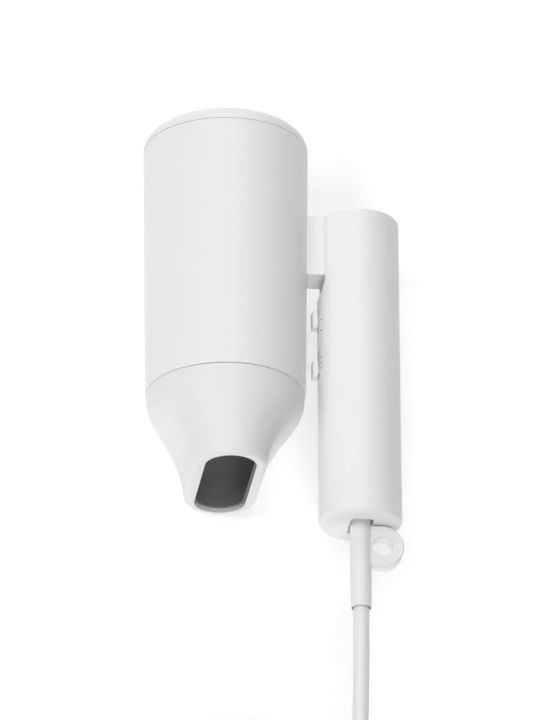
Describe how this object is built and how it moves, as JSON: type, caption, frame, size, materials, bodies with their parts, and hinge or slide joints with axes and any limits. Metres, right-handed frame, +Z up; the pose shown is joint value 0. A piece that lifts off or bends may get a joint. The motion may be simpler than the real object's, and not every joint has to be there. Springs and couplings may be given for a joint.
{
  "type": "hair dryer",
  "caption": "Compact hair dryer with a straight folding handle, tapering slot nozzle, two slide knobs, a hanging loop at the strain relief and a coiled lead with plug.",
  "frame": {"origin": "on the surface it lies on, under the middle of the dryer's footprint without its lead", "axes": "+X from the barrel to the folded handle, +Y along the barrel to the air intake, +Z up out of the surface"},
  "size_m": [0.1133, 0.4532, 0.0726],
  "materials": {
    "white_shell": "moulded white ABS, fine satin",
    "white_nozzle": "moulded white heat-resistant nylon, satin",
    "white_knob": "moulded white ABS",
    "grey_liner": "moulded dark grey heat-resistant plastic, matt",
    "white_grille": "moulded white ABS, perforated",
    "filter_steel": "woven stainless mesh",
    "black_plastic": "glass-filled nylon, matt",
    "steel": "bright steel",
    "bronze": "sintered bronze",
    "ferrite": "sintered ferrite",
    "rubber_sleeve": "moulded silicone rubber",
    "mica": "pressed mica sheet",
    "heating_wire": "nichrome wire",
    "thermal_parts": "pressed metal case",
    "board_green": "glass-epoxy laminate",
    "white_relief": "moulded white PVC, satin",
    "white_cord": "extruded white PVC sheath",
    "white_plug": "moulded white PVC",
    "plug_metal": "nickel-plated brass"
  },
  "bodies": {
    "barrel": {"barrel_shell": "white_shell", "outlet_collar": "black_plastic", "outlet_grille": "black_plastic", "fan_duct": "black_plastic", "motor_sleeve": "rubber_sleeve", "motor_can": "steel", "motor_end_plate": "steel", "motor_bushes": "bronze", "motor_magnets": "ferrite", "heater_boards": "mica", "heater_coils": "heating_wire", "heat_shield": "mica", "thermostat": "thermal_parts", "thermal_fuse": "thermal_parts", "hinge_neck": "white_shell", "neck_screws": "steel"},
    "rear_cap": {"rear_ring": "white_shell", "intake_grille": "white_grille", "filter_mesh": "filter_steel", "filter_frame": "white_grille"},
    "nozzle_catch": {"catch_ring": "steel"},
    "nozzle": {"nozzle_shell": "white_nozzle", "nozzle_liner": "grey_liner"},
    "rotor": {"motor_shaft": "steel", "motor_rotor": "steel", "fan_impeller": "black_plastic"},
    "handle": {"handle_shell": "white_shell", "hinge_fork": "white_shell", "handle_end_cap": "white_shell", "hinge_pin": "steel", "hinge_washers": "steel", "circuit_board": "board_green", "heat_switch": "black_plastic", "speed_switch": "black_plastic", "diode": "black_plastic", "strain_relief": "white_relief", "inner_lead": "white_cord", "cord_clamp": "black_plastic", "clamp_screws": "steel", "cord_lead": "white_cord", "cord_coil": "white_cord", "cord_tail": "white_cord", "plug_relief": "white_relief", "plug_body": "white_plug", "plug_pins": "plug_metal"},
    "heat_knob": {"heat_knob": "white_knob"},
    "speed_knob": {"speed_knob": "white_knob"}
  },
  "joints": [
    {"name": "handle_fold", "type": "hinge", "parent": "barrel", "child": "handle", "pos_m": [0.03665, 0.0574, 0.0363], "axis": [0, 0, 1], "range_deg": [0, 90]},
    {"name": "nozzle_turn", "type": "hinge", "parent": "barrel", "child": "nozzle_catch", "pos_m": [-0.02035, -0.0141, 0.0363], "axis": [0, 1, 0], "continuous": true},
    {"name": "nozzle_pull", "type": "slide", "parent": "nozzle_catch", "child": "nozzle", "axis": [0, -1, 0], "range_m": [0, 0.025]},
    {"name": "rear_cap_pull", "type": "slide", "parent": "barrel", "child": "rear_cap", "axis": [0, 1, 0], "range_m": [0, 0.012]},
    {"name": "fan_spin", "type": "hinge", "parent": "barrel", "child": "rotor", "pos_m": [-0.02035, 0.0759, 0.0363], "axis": [0, 1, 0], "continuous": true},
    {"name": "heat_slide", "type": "slide", "parent": "handle", "child": "heat_knob", "axis": [0, -1, 0], "range_m": [0, 0.0052]},
    {"name": "speed_slide", "type": "slide", "parent": "handle", "child": "speed_knob", "axis": [0, 1, 0], "range_m": [0, 0.0052]}
  ]
}
